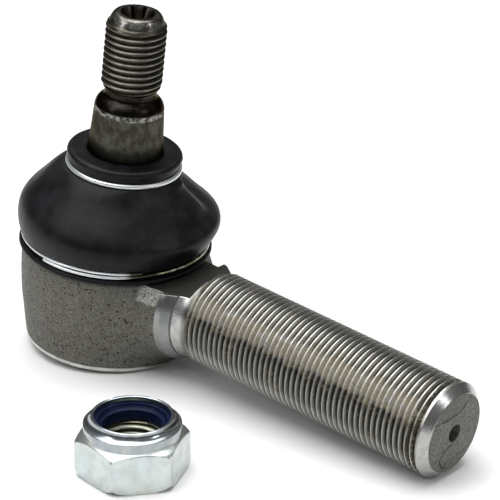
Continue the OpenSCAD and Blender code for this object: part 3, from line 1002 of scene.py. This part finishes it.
def wire_steel(name, gold=None):
    """Drawn, galvanised wire with long scratches; part of it yellowed, partly by a greasy smear and partly as a
    painted dim reflection, with a dark stretch beside it.
    """
    n = Nodes(name)
    x, y, z = n.xyz
    turn = n.math("ARCTAN2", y, x)
    along = n.join(n.mul(turn, 2.2), n.mul(z, 2.0), n.length2(x, y))
    draw = n.noise(1.4, 3, 0.6, along)
    tone = n.mix(n.step(draw, 0.35, 0.7), (0.7, 0.72, 0.73), (0.8, 0.83, 0.84))
    if gold is not None:
        a, wide = gold
        # Yellow stretch: partly a greasy smear, partly a painted dim yellow reflection.
        stain = n.mul(n.near(turn, a, wide, wide * 0.55), n.step(n.noise(0.7, 3, 0.6), 0.34, 0.5))
        tone = n.over(tone, stain, 0.85, (0.24, 0.215, 0.06))
        # A dark stretch of the wire.
        dark_stretch = n.near(turn, -0.52, 0.2, 0.12)
        tone = n.over(tone, dark_stretch, 0.9, (0.02, 0.019, 0.012))
    bump = n.bumps((draw, 0.003, 0.2))
    return n.surface(tone, n.blend(draw, 0.4, 0.3), bump, metal=1.0)


def zinc(name, rough, base):
    """Bright zinc plate with soft clouds, a faint rainbow and small stains near edges."""
    n = Nodes(name)
    u, v, w = n.local(NUT)
    cloud = n.noise(0.3, 4, 0.6)
    fine = n.noise(3.5, 4, 0.65)
    tone = n.mix(n.step(cloud, 0.38, 0.66), base, tuple(c * 0.86 for c in base))
    hue = n.noise(0.22, 2, 0.5)
    tone = n.over(tone, n.step(hue, 0.56, 0.7), 0.22, (0.62, 0.72, 0.86))
    tone = n.over(tone, n.step(hue, 0.46, 0.34), 0.2, (0.84, 0.8, 0.66))
    stain = n.mul(n.step(fine, 0.6, 0.74), n.step(w, 2.2, 0.2))
    tone = n.over(tone, stain, 0.55, (0.22, 0.2, 0.14))
    rr = n.sway(rough, cloud, 0.22, clamp=True)
    bump = n.bumps((n.noise(1.2, 4, 0.6), 0.05, 0.3), (fine, 0.02, 0.25))
    return n.surface(tone, rr, bump, metal=1.0)


def nut_thread():
    """Zinc in the nut's thread, thin and yellowish in the grooves."""
    n = Nodes("nut_thread_zinc")
    u, v, w = n.local(NUT)
    r = n.length2(u, v)
    grain = n.noise(3, 4, 0.6)
    tone = n.mix(n.step(r, 6.9, 6.25), (0.13, 0.13, 0.09), (0.3, 0.305, 0.255))
    tone = n.over(tone, n.step(grain, 0.5, 0.7), 0.4, (0.28, 0.27, 0.18))
    return n.surface(tone, n.blend(grain, 0.22, 0.4), n.bumps((grain, 0.04, 0.4)), metal=1.0)


def plastic(name, base, rough, light, gloss=0.5):
    """Moulded plastic with a soft sheen, flow marks and fine grain."""
    n = Nodes(name)
    flow = n.noise(0.5, 4, 0.6, distortion=0.6)
    fine = n.noise(4, 3, 0.6)
    tone = n.mix(n.step(flow, 0.4, 0.7), base, light)
    rr = n.sway(rough, flow, 0.2, clamp=True)
    return n.surface(tone, rr, n.bumps((fine, 0.02, 0.35)), Specular_IOR_Level=gloss)


def plate_steel():
    """Pressed cover plate: grey steel with press marks and a little rust."""
    n = Nodes("plate_steel")
    x, y, z = n.xyz
    r = n.length2(x, y)
    rings = n.lines(3, r, 2, 0.7)
    blot = n.noise(0.5, 5, 0.65)
    fine = n.noise(4, 4, 0.65)
    tone = n.mix(n.step(blot, 0.4, 0.7), (0.3, 0.3, 0.285), (0.17, 0.168, 0.155))
    tone = n.over(tone, n.step(fine, 0.58, 0.72), 0.4, (0.14, 0.09, 0.05))
    bump = n.bumps((rings, 0.03, 0.5), (fine, 0.04, 0.4))
    return n.surface(tone, n.blend(blot, 0.35, 0.55), bump, metal=0.9)


# ---------------------------------------------------------------- pieces


housing = make_housing([
    forged_skin(),
    machined("foot_rim_steel", (0.66, 0.66, 0.63), 0.42, ring=9, ring_depth=0.04),
    shoulder_flat(),
    machined("bore_steel", (0.28, 0.275, 0.25), 0.38, ring=5, ring_depth=0.03),
    neck_steel(),
    shank_steel(),
    machined("chamfer_steel", (0.42, 0.42, 0.41), 0.22, place=SHANK, ring=10, ring_depth=0.02, blotch=0.2),
    end_face(),
    # The centre hole's steel is painted nearly black: painted shade in the hole.
    machined("centre_hole_painted_shade", (0.035, 0.031, 0.026), 0.45, metal=0.6, place=SHANK, ring=6)])
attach(housing, "housing_body")
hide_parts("housing")

stud = make_stud([
    stud_metal("stud_ball_steel", (0.34, 0.33, 0.31), (0.16, 0.155, 0.14), 0.16, oil=0.3),
    # The taper carries painted shadow below 35.4 mm along the stud.
    stud_metal("stud_taper_steel", (0.074, 0.073, 0.062), (0.03, 0.028, 0.022), 0.38, streaks=0.2,
               oil=0.45, worn=(43.3, 44.15, 0.55), foot=35.4),
    stud_metal("stud_shoulder_steel", (0.022, 0.02, 0.018), (0.01, 0.0085, 0.0075), 0.25, oil=0.2),
    stud_thread(),
    stud_metal("stud_nose_steel", (0.21, 0.205, 0.185), (0.085, 0.081, 0.068), 0.26, oil=0.35,
               worn=(65.2, 66.3, 0.5)),
    stud_metal("stud_socket_steel", (0.075, 0.068, 0.06), (0.022, 0.018, 0.015), 0.34, streaks=0.3,
               oil=0.4)])
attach(stud, "stud_body")
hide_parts("ball_stud")

boot = make_boot([rubber("boot_rubber"), rubber("boot_flange_rubber", 0.5, 0.1)])
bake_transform(boot)
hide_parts("dust_boot")

upper_ring = make_wire("upper_ring_wire", upper_ring_path(), 0.64, [wire_steel("upper_wire_steel")],
                       closed=True)
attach(upper_ring, "boot_top_body")
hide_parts("boot_upper_ring")

lower_ring = make_wire("lower_ring_wire", lower_ring_path(), 0.4,
                       [wire_steel("lower_wire_steel", gold=(-0.12, 0.72))])
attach(lower_ring, "housing_body")
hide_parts("boot_lower_ring")

nut = make_nut([
    zinc("nut_zinc", 0.32, (0.56, 0.61, 0.59)),
    zinc("nut_collar_zinc", 0.2, (0.35, 0.38, 0.39)),
    nut_thread()])
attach(nut, "nut_body")
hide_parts("lock_nut")

insert = make_insert([
    plastic("nylon_blue", (0.0022, 0.0056, 0.026), 0.44, (0.0038, 0.0095, 0.042), gloss=0.12)])
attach(insert, "nut_body")
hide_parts("nut_insert")

FINISH = {
    "upper_ball_seat": (plastic("seat_plastic", (0.58, 0.56, 0.5), 0.42, (0.66, 0.64, 0.58)),
                        "bearing_plastic"),
    "lower_ball_seat": (plastic("lower_seat_plastic", (0.56, 0.54, 0.48), 0.42, (0.64, 0.62, 0.56)),
                        "bearing_plastic"),
    "preload_spring": (machined("spring_washer_steel", (0.33, 0.33, 0.32), 0.32, ring=4, radial=True),
                       "spring_steel"),
    "cover_plate": (plate_steel(), "plate_steel")}
for name, (mat, slot) in FINISH.items():
    node = frame["nodes"][name]
    node.data.materials.clear()
    node.data.materials.append(mat)


# ---------------------------------------------------------------- table, light and camera


def make_table():
    """The table the part rests on, through the foot's edge and the shank's tip, so it slopes here."""
    slope = math.atan2(-NUT_AXIS[0], NUT_AXIS[2])
    g = np.linspace(-1, 1, 25) ** 3 * 2600
    across, y = np.meshgrid(g, g)
    x = FOOT_R + across * math.cos(slope)
    z = across * math.sin(slope) - 0.02
    n = Nodes("table_white")
    tone = n.mix(n.noise(0.004, 2, 0.5), (0.9, 0.9, 0.9), (0.93, 0.93, 0.93))
    white = n.surface(tone, 0.75, Specular_IOR_Level=0.15)
    Shape().grid(np.stack([x, y, z], -1), wrap=False).make("table", [white])


def softbox(name, place, size, watts):
    """A soft lamp in metres and watts, turned to the middle of the part."""
    data = bpy.data.lights.new(name, "AREA")
    data.shape = "RECTANGLE"
    data.size, data.size_y = size
    data.energy = watts
    ob = bpy.data.objects.new(name, data)
    bpy.context.scene.collection.objects.link(ob)
    ob.location = place
    ob.rotation_euler = (Vector((0.035, 0, 0.02)) - Vector(place)).to_track_quat("-Z", "Y").to_euler()


def studio_world():
    """Grey surroundings, darker below."""
    world = bpy.data.worlds.new("studio")
    world.use_nodes = True
    tree = world.node_tree
    back = tree.nodes["Background"]
    at, split, ramp = (tree.nodes.new("ShaderNode" + kind)
                       for kind in ("TexCoord", "SeparateXYZ", "ValToRGB"))
    tree.links.new(at.outputs["Generated"], split.inputs[0])
    tree.links.new(split.outputs["Z"], ramp.inputs[0])
    tree.links.new(ramp.outputs[0], back.inputs["Color"])
    low, high = ramp.color_ramp.elements
    low.position, low.color = 0.0, (0.07, 0.07, 0.072, 1)
    high.position, high.color = 0.75, (0.3, 0.3, 0.305, 1)
    back.inputs["Strength"].default_value = 1.0
    return world


make_table()
softbox("top_box", (-0.16, -0.02, 0.85), (1.15, 0.95), 12.5)
softbox("left_box", (-0.32, -0.72, 0.6), (0.22, 0.3), 1.1)
softbox("right_box", (0.8, 0.22, 0.62), (0.22, 0.3), 0.9)

scene = bpy.context.scene
scene.world = studio_world()
scene.view_settings.view_transform = "Standard"

# The photograph's viewing angle and distance
cam_data = bpy.data.cameras.new("camera")
cam_data.sensor_width = 36
cam_data.lens = 168.12
cam_data.clip_start = 0.01
cam_data.clip_end = 20
camera = bpy.data.objects.new("camera", cam_data)
scene.collection.objects.link(camera)
cam_right = Vector((0.7564, 0.6498, 0.0743))
cam_up = Vector((-0.3473, 0.3028, 0.8874))
cam_right.normalize()
cam_back = cam_right.cross(cam_up).normalized()
cam_up = cam_back.cross(cam_right)
pose = Matrix((cam_right, cam_up, cam_back)).transposed().to_4x4()
pose.translation = Vector((0.32958, -0.36357, 0.27501))
camera.matrix_world = pose
scene.camera = camera
